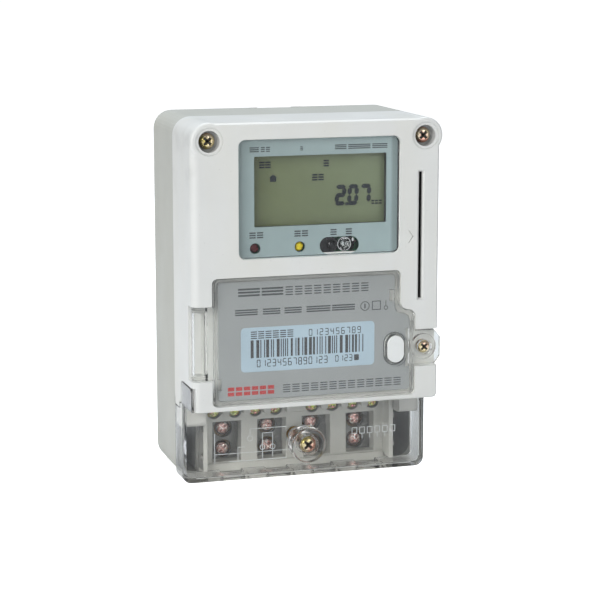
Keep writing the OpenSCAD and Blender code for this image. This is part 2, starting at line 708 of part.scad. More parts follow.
rear_case();
case_seal();
front_cover();
window_lens();
display_mask();
lcd_glass();
lcd_backlight();
lcd_frame();
pulse_led();
relay_led();
ir_receiver();
ir_emitter();
ir_board();
main_board();
board_screws();
key_switches();
card_reader_body();
card_reader_lid();
card_contacts();
case_screws();
cover_insert();
latching_relay();
busbars();
neutral_link();
current_transformer();
capacitors();
backup_battery();
radio_module();
terminal_block();
main_terminals();
main_terminal_screws();
aux_terminals();
aux_terminal_screws();
aux_leads();
block_screws();
terminal_insert();
nameplate_cover();
nameplate();
barcode_label();
nameplate_screw();
display_button();
program_button();
terminal_cover();
terminal_screw();
screw_clip();
hanger_plate();
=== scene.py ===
import json
import math
import random

import bmesh
import bpy
import numpy as np
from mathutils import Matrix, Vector

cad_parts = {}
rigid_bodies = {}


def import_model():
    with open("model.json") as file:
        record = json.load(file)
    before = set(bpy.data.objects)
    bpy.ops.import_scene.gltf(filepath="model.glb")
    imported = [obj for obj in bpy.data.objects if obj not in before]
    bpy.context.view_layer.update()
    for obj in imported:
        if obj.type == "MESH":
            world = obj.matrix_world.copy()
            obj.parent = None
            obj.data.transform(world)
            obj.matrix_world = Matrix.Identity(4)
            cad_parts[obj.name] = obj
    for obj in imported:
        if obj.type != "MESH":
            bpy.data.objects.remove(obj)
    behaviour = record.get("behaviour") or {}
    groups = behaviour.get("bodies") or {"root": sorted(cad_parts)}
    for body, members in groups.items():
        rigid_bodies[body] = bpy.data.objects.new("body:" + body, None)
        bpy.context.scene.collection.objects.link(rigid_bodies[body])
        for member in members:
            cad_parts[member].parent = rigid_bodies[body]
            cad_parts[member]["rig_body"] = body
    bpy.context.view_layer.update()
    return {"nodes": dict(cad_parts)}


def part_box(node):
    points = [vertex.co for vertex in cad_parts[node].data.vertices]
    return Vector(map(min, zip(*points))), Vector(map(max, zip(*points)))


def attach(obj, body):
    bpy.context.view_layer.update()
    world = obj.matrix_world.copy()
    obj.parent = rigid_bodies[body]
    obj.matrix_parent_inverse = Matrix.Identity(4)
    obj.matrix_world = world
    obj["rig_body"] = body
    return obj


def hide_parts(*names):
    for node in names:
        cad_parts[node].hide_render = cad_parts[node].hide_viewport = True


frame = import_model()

MM = 0.001
NODES = frame["nodes"]
SLOT_OF = {name: node.material_slots[0].material.name for name, node in NODES.items()}
# depths are measured back from the front cover's face, as in the CAD source, in millimetres
FACE_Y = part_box("front_cover")[0].y


def spot(x, depth, z):
    """A point in the shared frame, from millimetres across, back from the face, and up."""
    return Vector((x * MM, FACE_Y + depth * MM, z * MM))


def front_depth(node):
    """How far behind the face a node starts, in millimetres."""
    return (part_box(node)[0].y - FACE_Y) / MM


def extent(node):
    """A node's left, right, bottom and top, in millimetres."""
    low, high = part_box(node)
    return low.x / MM, high.x / MM, low.z / MM, high.z / MM


# ---- materials ----

class Paint:
    """One material's nodes. Its patterns follow object coordinates, which are metres in the frame."""

    def __init__(self, name):
        self.material = bpy.data.materials.new(name)
        self.material.use_nodes = True
        self.nodes = self.material.node_tree.nodes
        self.links = self.material.node_tree.links
        self.shader = self.nodes["Principled BSDF"]
        self.output = self.nodes["Material Output"]
        self.place = self.add("ShaderNodeTexCoord").outputs["Object"]

    def add(self, kind, inputs=None, **settings):
        node = self.nodes.new(kind)
        for key, value in settings.items():
            setattr(node, key, value)
        for key, value in (inputs or {}).items():
            self.feed(node.inputs[key], value)
        return node

    def feed(self, socket, value):
        if isinstance(value, bpy.types.NodeSocket):
            self.links.new(value, socket)
        else:
            socket.default_value = value

    def set(self, **values):
        for key, value in values.items():
            self.feed(self.shader.inputs[key.replace("_", " ")], value)

    def stretched(self, x=1.0, y=1.0, z=1.0):
        return self.add("ShaderNodeMapping", {"Vector": self.place, "Scale": (x, y, z)}).outputs[0]

    def noise(self, per_metre, detail=3.0, rough=0.55, place=None):
        return self.add("ShaderNodeTexNoise", {
            "Vector": place or self.place, "Scale": per_metre, "Detail": detail, "Roughness": rough,
        }).outputs["Fac"]

    def cells(self, per_metre, place=None, feature="F1"):
        return self.add("ShaderNodeTexVoronoi", {"Vector": place or self.place, "Scale": per_metre},
                        feature=feature).outputs["Distance"]

    def span(self, value, start, end, low=0.0, high=1.0):
        return self.add("ShaderNodeMapRange", {
            "Value": value, "From Min": start, "From Max": end, "To Min": low, "To Max": high,
        }).outputs[0]

    def sum(self, a, b, operation="ADD"):
        return self.add("ShaderNodeMath", {0: a, 1: b}, operation=operation).outputs[0]

    def mix(self, amount, a, b, blend="MIX"):
        return self.add("ShaderNodeMixRGB", {"Fac": amount, "Color1": a, "Color2": b},
                        blend_type=blend).outputs[0]

    def ramp(self, value, stops):
        node = self.add("ShaderNodeValToRGB", {"Fac": value})
        elements = node.color_ramp.elements
        while len(elements) < len(stops):
            elements.new(0.5)
        for element, (position, colour) in zip(elements, stops):
            element.position = position
            element.color = colour
        return node.outputs[0]

    def axis(self, name):
        """The place along one axis of the frame, in metres."""
        return self.add("ShaderNodeSeparateXYZ", {0: self.place}).outputs[name]

    def aside(self):
        """How far to either side of the middle a point is, in metres."""
        return self.sum(self.axis("X"), 0.0, "ABSOLUTE")

    def by_depth(self, start, end, low=0.0, high=1.0):
        """low at the depth called start and high at the one called end, in millimetres behind the face."""
        return self.span(self.axis("Y"), spot(0, start, 0).y, spot(0, end, 0).y, low, high)

    def uneven(self, per_metre, low, high):
        """A number that drifts between low and high over the surface, for roughness."""
        return self.span(self.noise(per_metre), 0.3, 0.7, low, high)

    def rounded(self, radius):
        """A normal that rounds edges finer than the mesh does, and how near a point is to an edge."""
        bevel = self.add("ShaderNodeBevel", {"Radius": radius}, samples=3).outputs[0]
        true = self.add("ShaderNodeNewGeometry").outputs["Normal"]
        dot = self.add("ShaderNodeVectorMath", {0: bevel, 1: true}, operation="DOT_PRODUCT").outputs["Value"]
        return bevel, self.span(dot, 0.995, 0.8)

    def bump(self, height, depth, normal=None, strength=1.0):
        inputs = {"Height": height, "Distance": depth, "Strength": strength}
        if normal is not None:
            inputs["Normal"] = normal
        return self.add("ShaderNodeBump", inputs).outputs[0]


def rgb(red, green, blue):
    """An sRGB colour of 0 to 255, as the linear colour that the shaders take."""
    def linear(c):
        c /= 255
        return c / 12.92 if c <= 0.04045 else ((c + 0.055) / 1.055) ** 2.4
    return (linear(red), linear(green), linear(blue), 1.0)


def darker(colour, share):
    return tuple(c * share for c in colour[:3]) + (1.0,)


# the grey that stain marks and painted shade multiply into a colour
STAIN_AND_SHADE_GREY = (0.3, 0.3, 0.3, 1)
METAL_GRIME = (0.06, 0.05, 0.04, 1)
METAL_EDGE = (0.95, 0.92, 0.85, 1)
# the grey of the painted shade on clear walls seen end-on
PAINTED_END_ON_SHADE = (0.3, 0.3, 0.32, 1)


def moulded(name, colour, stain=None, roughness=0.42, grain=9e-6, specular=0.45, stains_and_painted_shade=None):
    """Injection-moulded plastic: fine spark grain, slow sink marks, uneven gloss, handled edges.

    Its last argument takes the paint and gives how much real stain marks and painted shade darken each
    place, from 0 to 1.
    """
    p = Paint(name)
    normal, near_edge = p.rounded(0.35 * MM)
    cloud = p.span(p.noise(28, 4), 0.35, 0.7)
    streak = p.span(p.noise(45, 3, place=p.stretched(z=0.22)), 0.45, 0.75)
    body = p.mix(cloud, colour, darker(colour, 0.95))
    body = p.mix(p.sum(streak, 0.35, "MULTIPLY"), body, stain or darker(colour, 0.9))
    specks = p.span(p.noise(900, 2), 0.71, 0.77)
    body = p.mix(p.sum(specks, 0.25, "MULTIPLY"), body, darker(colour, 0.45))
    body = p.mix(p.sum(near_edge, 0.35, "MULTIPLY"), body, tuple(min(1, c * 1.12) for c in colour))
    # painted shade and real stain marks darken the colour here, as the mask gives
    if stains_and_painted_shade:
        body = p.mix(stains_and_painted_shade(p), body, STAIN_AND_SHADE_GREY, "MULTIPLY")
    gloss = p.uneven(60, roughness - 0.05, roughness + 0.06)
    gloss = p.sum(gloss, p.sum(near_edge, 0.08, "MULTIPLY"), "SUBTRACT")
    grained = p.sum(p.noise(5200, 2), p.sum(p.noise(1500, 2), 0.6, "MULTIPLY"))
    normal = p.bump(p.noise(35, 1), 40e-6, normal)
    normal = p.bump(grained, grain, normal)
    p.set(Base_Color=body, Roughness=gloss, Normal=normal, Specular_IOR_Level=specular)
    return p.material


def block_painted_shade(p):
    """Painted shade on the terminal block: deep behind its face, and on the sides outside its fins."""
    ragged = 3 * MM
    unshaded_depth, shaded_depth = spot(0, 44.5, 0).y, spot(0, 46.5, 0).y
    fin_side = 44.42 * MM
    depth = p.sum(p.axis("Y"), p.sum(p.noise(160, 3), ragged, "MULTIPLY"))
    # painted shade grows with depth behind the block's face
    deep = p.span(depth, unshaded_depth, shaded_depth)
    beside = p.span(p.aside(), fin_side, fin_side + 0.06 * MM, 0, 0.85)
    return p.sum(deep, beside, "MAXIMUM")


def case_painted_shade(p):
    """Painted shade in the wiring compartment of the case, at the bottom and inside its walls, and on the
    front rim of its walls.
    """
    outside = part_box("rear_case")[1]
    compartment_top = 40 * MM
    within = p.span(p.aside(), outside.x - 2.1 * MM, outside.x - 2.3 * MM)
    above_base = p.span(p.axis("Z"), 0.5 * MM, 1.0 * MM)
    before_back = p.span(p.axis("Y"), outside.y - 0.8 * MM, outside.y - 1.2 * MM)
    inside = p.sum(within, p.sum(above_base, before_back, "MULTIPLY"), "MULTIPLY")
    rim = p.by_depth(33.5, 33.2, 0, 0.7)
    low = p.span(p.axis("Z"), compartment_top, compartment_top - 4 * MM)
    # painted shade only below the top of the compartment
    return p.sum(p.sum(inside, rim, "MAXIMUM"), low, "MULTIPLY")


def well_shade(p):
    """Painted shade on the left inside of the two case-screw wells."""
    x0, x1, z0, z1 = extent("case_screws")
    head = (z1 - z0) / 2
    reach, soft = 4.75 * MM, 0.1 * MM
    total = 0.0
    for centre in (x0 + head, x1 - head):
        across = p.sum(p.axis("X"), centre * MM, "SUBTRACT")
        up = p.sum(p.sum(p.axis("Z"), (z0 + head) * MM, "SUBTRACT"), 0.0, "ABSOLUTE")
        near = p.sum(p.span(p.sum(across, 0.0, "ABSOLUTE"), reach, reach - soft),
                     p.span(up, reach, reach - soft), "MULTIPLY")
        left = p.span(across, 1 * MM, -3 * MM, 0.25, 0.95)
        total = p.sum(total, p.sum(near, left, "MULTIPLY"))
    return p.sum(total, p.by_depth(0.7, 1.3), "MULTIPLY")


def stains_and_well_shade(p):
    """Faint marks of handling near the top of the front cover's left side, and painted shade in its screw
    wells.
    """
    near = p.span(p.axis("X"), -52 * MM, -55 * MM)
    high = p.span(p.axis("Z"), 118 * MM, 140 * MM)
    marks = p.sum(p.sum(near, high, "MULTIPLY"), p.span(p.noise(90, 4), 0.5, 0.7, 0, 0.16), "MULTIPLY")
    # real handling marks, joined with the painted shade of the wells
    return p.sum(marks, well_shade(p), "MAXIMUM")


def clear(name, tint, roughness=0.04, ior=1.5, waves=20e-6, scratches=True, walls=None):
    """Clear moulded plastic: flow waves, fine scratches and faint haze. Light passes to what is behind.

    walls is (front face, outer side, thickness) of a box-like part, in metres: its walls look darker end-on,
    so their front edges get a painted shade.
    """
    p = Paint(name)
    hazed = p.span(p.noise(55, 4), 0.5, 0.8, 0, 0.5)
    normal = p.bump(p.noise(90, 2), waves, p.rounded(0.3 * MM)[0])
    if scratches:
        marks = p.span(p.cells(420, p.stretched(z=0.16), "DISTANCE_TO_EDGE"), 0.0, 0.02, 1, 0)
        sparse = p.span(p.noise(70, 2), 0.55, 0.65)
        normal = p.bump(p.sum(marks, sparse, "MULTIPLY"), 4e-6, normal)
    body = p.mix(hazed, tint, darker(tint, 0.9))
    if walls:
        face, side, thick = walls
        # painted shade on the front edges of the walls, for how dark they look end-on
        end_on = p.span(p.axis("Y"), face + 0.35 * MM, face + 0.2 * MM)
        outer = p.span(p.aside(), side - thick - 0.2 * MM, side - thick + 0.1 * MM)
        under = p.span(p.axis("Z"), thick + 0.2 * MM, thick - 0.2 * MM, 0, 0.3)
        streaks = p.span(p.noise(900, 3, place=p.stretched(z=0.3)), 0.3, 0.7, 0.35, 1.0)
        painted_wall_shade = p.sum(p.sum(p.sum(outer, under, "MAXIMUM"), end_on, "MULTIPLY"), streaks, "MULTIPLY")
        body = p.mix(painted_wall_shade, body, PAINTED_END_ON_SHADE)
    p.set(Base_Color=body, Roughness=roughness, IOR=ior, Transmission_Weight=1.0, Normal=normal)
    passing = p.add("ShaderNodeBsdfTransparent", {"Color": tint}).outputs[0]
    is_shadow = p.add("ShaderNodeLightPath").outputs["Is Shadow Ray"]
    both = p.add("ShaderNodeMixShader", {0: is_shadow, 1: p.shader.outputs[0], 2: passing}).outputs[0]
    p.links.new(both, p.output.inputs["Surface"])
    return p.material


def metal(name, stops, roughness=0.28, patch=260):
    """Plated or bare metal: patches of tint, fine scratches, and spots of dull grime."""
    p = Paint(name)
    normal, near_edge = p.rounded(0.2 * MM)
    body = p.ramp(p.noise(patch, 3), stops)
    dirt = p.span(p.noise(520, 4), 0.6, 0.8, 0, 0.5)
    body = p.mix(dirt, body, METAL_GRIME)
    body = p.mix(p.sum(near_edge, 0.5, "MULTIPLY"), body, METAL_EDGE)
    rubbed = p.noise(2600, 2, place=p.stretched(z=0.15))
    p.set(Base_Color=body, Metallic=1.0, Normal=p.bump(rubbed, 8e-6, normal),
          Roughness=p.sum(p.uneven(400, roughness - 0.08, roughness + 0.12), p.sum(dirt, 0.3, "MULTIPLY")))
    return p.material


def ink(name, colour, roughness=0.5, wear=0.25):
    """A printed film: slightly uneven cover and a trace of thickness."""
    p = Paint(name)
    thin = p.span(p.noise(1800, 3), 0.5, 0.8, 0, wear)
    lighter = tuple(c * 0.75 + 0.12 for c in colour[:3]) + (1.0,)
    p.set(Base_Color=p.mix(thin, colour, lighter), Roughness=p.uneven(700, roughness, roughness + 0.12),
          Normal=p.bump(p.noise(3000, 2), 3e-6))
    return p.material


def lamp_plastic(name, colour, deep):
    """Tinted lens of a lamp: cloudy depth and a glossy skin."""
    p = Paint(name)
    cloud = p.span(p.noise(350, 2), 0.35, 0.65)
    p.set(Base_Color=p.mix(cloud, colour, deep), Roughness=p.uneven(900, 0.18, 0.3),
          Specular_IOR_Level=0.25, Coat_Weight=0.1, Coat_Roughness=0.05,
          Normal=p.bump(p.noise(500, 2), 12e-6))
    return p.material


def printed_panel(name, colour, left_tint, right_tint):
    """The blue-grey paint behind the window: painted light that grows towards the right, fine mottling, and
    painted shade along the right edge.
    """
    p = Paint(name)
    low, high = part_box("display_mask")
    across = p.span(p.axis("X"), low.x, high.x)
    # painted light: lighter towards the right
    body = p.mix(across, left_tint, right_tint)
    body = p.mix(p.span(p.noise(1400, 3), 0.4, 0.7, 0, 0.35), body, colour)
    # painted shade along the right edge, where the end of the lens shows dark
    shaded = p.span(p.axis("X"), high.x - 3.6 * MM, high.x - 2.2 * MM, 0, 0.42)
    body = p.mix(shaded, body, (0.02, 0.03, 0.03, 1))
    p.set(Base_Color=body, Roughness=p.uneven(300, 0.4, 0.5), Normal=p.bump(p.noise(2500, 2), 3e-6))
    return p.material


def display_film(name, base, shade, light):
    """The reflective display: olive, with painted shade to the lower left and painted light to the upper
    right, and faint specks and grain.
    """
    p = Paint(name)
    low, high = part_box("lcd_glass")
    across = p.span(p.axis("X"), low.x, high.x)
    up = p.span(p.axis("Z"), low.z, high.z)
    # painted shade to the left and painted light to the upper right
    body = p.mix(across, shade, base)
    body = p.mix(p.sum(p.sum(across, up, "MULTIPLY"), 0.6, "MULTIPLY"), body, light)
    specks = p.span(p.noise(1100, 2), 0.72, 0.78, 0, 0.6)
    body = p.mix(specks, body, rgb(168, 178, 150))
    body = p.mix(p.span(p.noise(120, 3), 0.4, 0.7, 0, 0.3), body, darker(base, 0.9))
    p.set(Base_Color=body, Roughness=p.uneven(240, 0.3, 0.42), Normal=p.bump(p.noise(2200, 2), 4e-6),
          Specular_IOR_Level=0.3)
    return p.material


def board_laminate(name, mask, copper):
    """Circuit board: solder mask over tracks, with raised tinned pads."""
    p = Paint(name)
    tracks = p.add("ShaderNodeTexBrick", {
        "Vector": p.place, "Scale": 160, "Mortar Size": 0.06,
        "Color1": mask, "Color2": darker(mask, 0.8), "Mortar": darker(mask, 1.5)}).outputs["Color"]
    pads = p.span(p.cells(260), 0.13, 0.17, 1, 0)
    body = p.mix(pads, tracks, copper)
    p.set(Base_Color=body, Roughness=p.uneven(500, 0.3, 0.45), Metallic=p.sum(pads, 0.8, "MULTIPLY"),
          Normal=p.bump(pads, 30e-6))
    return p.material


def sleeve(name, colour, band=None):
    """Shrink film on a component: tight ripples and a soft sheen."""
    p = Paint(name)
    ripples = p.noise(420, 2, place=p.stretched(y=0.25))
    body = p.mix(p.span(p.noise(90, 3), 0.35, 0.7), colour, band or darker(colour, 0.75))
    p.set(Base_Color=body, Roughness=p.span(ripples, 0.3, 0.7, 0.28, 0.42), Normal=p.bump(ripples, 25e-6))
    return p.material


MATERIALS = {
    "case_white": moulded(
        "case_white", rgb(213, 213, 210), stain=rgb(210, 207, 195), roughness=0.36, stains_and_painted_shade=stains_and_well_shade),
    "case_grey": moulded("case_grey", rgb(181, 181, 174), stain=rgb(176, 174, 162), roughness=0.46),
    "clear_plastic": clear("clear_plastic", (0.955, 0.965, 0.965, 1)),
    "panel_print": printed_panel("panel_print", rgb(132, 148, 148), rgb(126, 140, 140), rgb(136, 152, 153)),
    "lcd": display_film("lcd", rgb(102, 111, 84), rgb(90, 97, 64), rgb(114, 125, 98)),
    "light_guide": moulded("light_guide", rgb(226, 230, 222), roughness=0.3),
    "white_plastic": moulded("white_plastic", rgb(222, 223, 221), roughness=0.22, grain=2e-6, specular=0.6),
    "black_plastic": moulded("black_plastic", rgb(46, 47, 50), roughness=0.45),
    "red_lamp": lamp_plastic("red_lamp", rgb(82, 6, 11), rgb(44, 3, 6)),
    "yellow_lamp": lamp_plastic("yellow_lamp", rgb(214, 192, 8), rgb(182, 158, 4)),
    "dark_lamp": lamp_plastic("dark_lamp", rgb(14, 13, 17), rgb(6, 6, 9)),
    "clear_lamp": clear("clear_lamp", (0.95, 0.97, 0.97, 1), roughness=0.03, waves=60e-6, scratches=False),
    "circuit_board": board_laminate("circuit_board", rgb(40, 110, 74), rgb(190, 190, 180)),
    "capacitor_sleeve": sleeve("capacitor_sleeve", rgb(36, 58, 120), rgb(60, 84, 150)),
    "battery_sleeve": sleeve("battery_sleeve", rgb(206, 186, 60), rgb(176, 150, 40)),
    "coil_tape": sleeve("coil_tape", rgb(58, 92, 124)),
    "seal_rubber": moulded("seal_rubber", rgb(58, 58, 60), roughness=0.7, grain=20e-6),
    "block_grey": moulded("block_grey", rgb(196, 198, 194), stain=rgb(182, 184, 176), roughness=0.45),
    "nameplate_grey": moulded(
        "nameplate_grey", rgb(152, 155, 156), stain=rgb(145, 148, 149), roughness=0.38, grain=4e-6),
    "label_blue": moulded("label_blue", rgb(176, 197, 212), roughness=0.5, grain=3e-6),
    "passivated_steel": metal(
        "passivated_steel",
        [(0.38, rgb(220, 202, 128)), (0.5, rgb(244, 226, 196)), (0.58, rgb(236, 178, 158))],
        roughness=0.18, patch=120),
    "copper_screw": metal(
        "copper_screw", [(0.3, rgb(236, 200, 190)), (0.5, rgb(222, 168, 158)), (0.65, rgb(232, 216, 200))],
        roughness=0.2),
    "steel": metal("steel", [(0.3, rgb(214, 214, 212)), (0.7, rgb(184, 186, 188))]),
    "galvanised_steel": metal(
        "galvanised_steel", [(0.35, rgb(190, 194, 198)), (0.65, rgb(166, 172, 176))],
        roughness=0.4, patch=180),
    "brass": metal("brass", [(0.3, rgb(214, 180, 104)), (0.7, rgb(190, 152, 84))]),
    "copper": metal("copper", [(0.3, rgb(210, 140, 100)), (0.7, rgb(176, 104, 72))]),
    "contact_gold": metal(
        "contact_gold", [(0.3, rgb(226, 190, 106)), (0.7, rgb(206, 168, 88))], roughness=0.2),
}
# nodes that share a slot but not a finish, or whose painted shade follows their place
COVER_FACE = 20.0  # the terminal cover's front face, in millimetres behind the front cover's
COVER_CLEAR = clear("terminal_cover_clear", (0.87, 0.87, 0.86, 1), roughness=0.02, waves=22e-6,
                    walls=(spot(0, COVER_FACE, 0).y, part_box("terminal_cover")[1].x, 2 * MM))
LID_CLEAR = clear("lid_clear", (0.9, 0.905, 0.895, 1), roughness=0.02, waves=14e-6)
LENS_CLEAR = clear("lens_clear", (0.97, 0.98, 0.98, 1), roughness=0.01, ior=1.3, waves=4e-6, scratches=False)
AUX_SCREW = metal(
    "aux_screw_metal",
    [(0.4, rgb(196, 214, 30)), (0.47, rgb(238, 240, 200)),
     (0.53, rgb(190, 204, 40)), (0.6, rgb(240, 150, 172))],
    roughness=0.14, patch=560)
MAIN_SCREW = metal(
    "main_screw_metal", [(0.4, rgb(250, 214, 206)), (0.5, rgb(206, 134, 122)), (0.58, rgb(255, 246, 240))],
    roughness=0.12, patch=620)
DULL_BRASS = metal("dull_brass", [(0.35, rgb(112, 92, 58)), (0.65, rgb(84, 68, 46))], roughness=0.4)
CASE_BACK = moulded(
    "case_back", rgb(181, 181, 174), stain=rgb(176, 174, 162), roughness=0.46, stains_and_painted_shade=case_painted_shade)
SATIN_METAL = metal(
    "satin_metal", [(0.35, rgb(232, 234, 236)), (0.65, rgb(206, 208, 206))], roughness=0.16, patch=700)
BLOCK = moulded("block_face", rgb(214, 214, 208), roughness=0.4, stains_and_painted_shade=block_painted_shade)
DARK_INK = ink("dark_ink", rgb(44, 50, 54))
BLACK_INK = ink("black_ink", rgb(34, 34, 38))
RED_INK = ink("red_ink", rgb(178, 16, 12), wear=0.05)
SEGMENT_INK = ink("segment_ink", rgb(22, 28, 34), roughness=0.7, wear=0.02)
CROSS_SHADE = ink("cross_shade", rgb(58, 52, 44), roughness=0.35, wear=0.3)
# a frosted ink, for the real frosted relief and for the painted glints on the terminal cover's edges
FROST_AND_PAINTED_GLINT = ink("frost_and_painted_glint", rgb(214, 217, 216), wear=0.6)

CAD_MATERIAL = {"nameplate_cover": LID_CLEAR, "main_terminals": DULL_BRASS, "rear_case": CASE_BACK}
for name, node in NODES.items():
    for slot in node.material_slots:
        slot.material = CAD_MATERIAL.get(name) or MATERIALS[SLOT_OF[name]]


# ---- meshes ----

def piece(name, mesh, body, material):
    """A visible piece that rides on a body and takes the material it is given."""
    obj = bpy.data.objects.new(name, mesh)
    bpy.context.scene.collection.objects.link(obj)
    mesh.materials.clear()
    mesh.materials.append(material)
    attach(obj, body)
    return obj


def clearance(face):
    """For each edge round a face, the distance to the nearest of the face's other edges."""
    start = np.array([loop.vert.co for loop in face.loops])
    step = np.roll(start, -1, 0) - start
    size = np.maximum((step ** 2).sum(1), 1e-18)
    order = np.arange(len(start))
    beside = np.abs(order[:, None] - order[None]) % (len(start) - 1) <= 1
    gap = np.full(len(start), np.inf)
    for along in (0.02, 0.5, 0.98):
        reach = (start + step * along)[:, None] - start[None]
        nearest = np.clip((reach * step[None]).sum(2) / size[None], 0, 1)
        distance = np.linalg.norm(reach - nearest[..., None] * step[None], axis=2)
        distance[beside] = np.inf
        gap = np.minimum(gap, distance.min(1))
    return gap


def finished(node, width, segments=2, material=None, least_angle=32):
    """A node's shape with its outside edges rounded as far as there is room, standing for the node."""
    source = NODES[node]
    bm = bmesh.new()
    bm.from_mesh(source.data)
    weight = bm.edges.layers.float.new("bevel_weight_edge")
    bmesh.ops.remove_doubles(bm, verts=bm.verts, dist=1e-7)
    bmesh.ops.dissolve_limit(bm, angle_limit=math.radians(0.5), use_dissolve_boundaries=False,
                             verts=bm.verts, edges=bm.edges)
    turn = math.radians(least_angle)
    for edge in bm.edges:
        if len(edge.link_faces) == 2 and edge.is_convex and edge.calc_face_angle(0) > turn:
            edge[weight] = 1.0
    for face in bm.faces:
        if len(face.loops) > 3:
            for loop, gap in zip(face.loops, clearance(face)):
                loop.edge[weight] = min(loop.edge[weight], 0.3 * gap / (width * MM))
    for edge in bm.edges:
        edge.smooth = edge[weight] > 0.05 or edge.calc_face_angle(math.pi) < turn
    mesh = bpy.data.meshes.new(node + "_finished")
    bm.to_mesh(mesh)
    bm.free()
    mesh.polygons.foreach_set("use_smooth", [True] * len(mesh.polygons))
    obj = piece(node + "_finished", mesh, source["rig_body"],
                material or MATERIALS[SLOT_OF[node]])
    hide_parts(node)
    rounding = obj.modifiers.new("rounding", "BEVEL")
    rounding.width, rounding.segments, rounding.limit_method = width * MM, segments, "WEIGHT"
    rounding.use_clamp_overlap = False
    obj.modifiers.new("faces_stay_flat", "WEIGHTED_NORMAL").keep_sharp = True
    return obj


def raised(name, outlines, depths, body, material):
    """Thin closed shapes from front-view outlines in millimetres, all in one piece."""
    bm = bmesh.new()
    for outline in outlines:
        front, back = ([bm.verts.new(spot(x, depth, z)) for x, z in outline] for depth in depths)
        bm.faces.new(front)
        bm.faces.new(list(reversed(back)))
        for i in range(len(outline)):
            j = (i + 1) % len(outline)
            bm.faces.new([front[j], front[i], back[i], back[j]])
    bmesh.ops.recalc_face_normals(bm, faces=bm.faces)
    mesh = bpy.data.meshes.new(name)
    bm.to_mesh(mesh)
    bm.free()
    return piece(name, mesh, body, material)


def bar(left, right, low, high, radius):
    """A bar with rounded corners, which have more steps where they are large."""
    r = min(radius, (high - low) / 2, (right - left) / 2)
    steps = range(0, 91, 15) if r > 2 else (0, 45, 90)
    corners = [(right - r, low + r, -90), (right - r, high - r, 0),
               (left + r, high - r, 90), (left + r, low + r, 180)]
    return [(x + r * math.cos(math.radians(start + step)), z + r * math.sin(math.radians(start + step)))
            for x, z, start in corners for step in steps]


def stroke(points, width):
    """A flat line of even width through the points: one outline for each straight stretch."""
    outlines = []
    for (x0, z0), (x1, z1) in zip(points, points[1:]):
        length = math.hypot(x1 - x0, z1 - z0)
        ux, uz = (x1 - x0) / length * width / 2, (z1 - z0) / length * width / 2
        outlines.append([(x0 - ux - uz, z0 - uz + ux), (x0 - ux + uz, z0 - uz - ux),
                         (x1 + ux + uz, z1 + uz - ux), (x1 + ux - uz, z1 + uz + ux)])
    return outlines


def ring(x, z, radius, width, sides=24):
    """A flat ring, as a row of short blocks that meet."""
    def point(r, i):
        a = math.tau * i / sides
        return (x + r * math.cos(a), z + r * math.sin(a))
    return [[point(radius, i), point(radius, i + 1), point(radius - width, i + 1), point(radius - width, i)]
            for i in range(sides)]


def band(left, right, low, high, radius, width):
    """A flat rounded frame, as a row of blocks that meet."""
    outer = bar(left, right, low, high, radius)
    inner = bar(left + width, right - width, low + width, high - width, radius - width)
    return [[outer[i - 1], outer[i], inner[i], inner[i - 1]] for i in range(len(outer))]


SEGMENTS = {"0": "abcdef", "1": "bc", "2": "abdeg", "3": "abcdg", "4": "bcfg", "5": "acdfg",
            "6": "acdefg", "7": "abc", "8": "abcdefg", "9": "abcdfg"}


def digit(figure, left, low, width, height, thick, slant=0.0, gap=0.14):
    """A seven-segment figure, as six-sided blocks. gap is a share of the thickness."""
    half = thick / 2
    right, mid, high = width, height / 2, height
    ends = {"a": ((0, high), (right, high)), "b": ((right, high), (right, mid)),
            "c": ((right, mid), (right, 0)), "d": ((0, 0), (right, 0)), "e": ((0, mid), (0, 0)),
            "f": ((0, high), (0, mid)), "g": ((0, mid), (right, mid))}
    inset = {"a": -half, "d": half}
    outlines = []
    for name in SEGMENTS[figure]:
        (x0, z0), (x1, z1) = ends[name]
        if z0 == z1:
            z = z0 + inset.get(name, 0)
            x0, x1 = half + gap * thick, width - half - gap * thick
            shape = [(x0 - half, z), (x0, z - half), (x1, z - half),
                     (x1 + half, z), (x1, z + half), (x0, z + half)]
        else:
            x = half if x0 == 0 else width - half
            top, end = max(z0, z1) - half - gap * thick, min(z0, z1) + half + gap * thick
            top -= half if max(z0, z1) == high else -half * 0.4
            end += half if min(z0, z1) == 0 else -half * 0.4
            shape = [(x, top + half), (x - half, top), (x - half, end),
                     (x, end - half), (x + half, end), (x + half, top)]
        outlines.append([(left + px + slant * pz, low + pz) for px, pz in shape])
    return outlines


# ---- the finished CAD shapes that show ----

# the rounding of each node's outside edges, in millimetres
EDGE = {
    "window_lens": 0.12, "lcd_frame": 0.2, "card_reader_body": 0.15, "card_reader_lid": 0.15,
    "case_screws": 0.14, "terminal_block": 0.25, "main_terminal_screws": 0.14, "aux_terminal_screws": 0.14,
    "nameplate": 0.06, "barcode_label": 0.03, "nameplate_screw": 0.12, "display_button": 1.5,
    "program_button": 0.3, "terminal_cover": 0.3, "terminal_screw": 0.14, "hanger_plate": 0.3,
    "cover_insert": 0.12, "terminal_insert": 0.12,
}
OWN_MATERIAL = {"terminal_cover": COVER_CLEAR, "window_lens": LENS_CLEAR, "aux_terminal_screws": AUX_SCREW,
                "main_terminal_screws": MAIN_SCREW, "terminal_block": BLOCK}
for name, width in EDGE.items():
    finished(name, width, material=OWN_MATERIAL.get(name))


# ---- display ----

def lines(left, right, low, high, count=3, share=0.6):
    """A row of even printed lines, where the real part has a printed word."""
    pitch = (high - low) / (count - 1 + share)
    return [bar(left, right, low + i * pitch, low + (i + share) * pitch, 0.15) for i in range(count)]


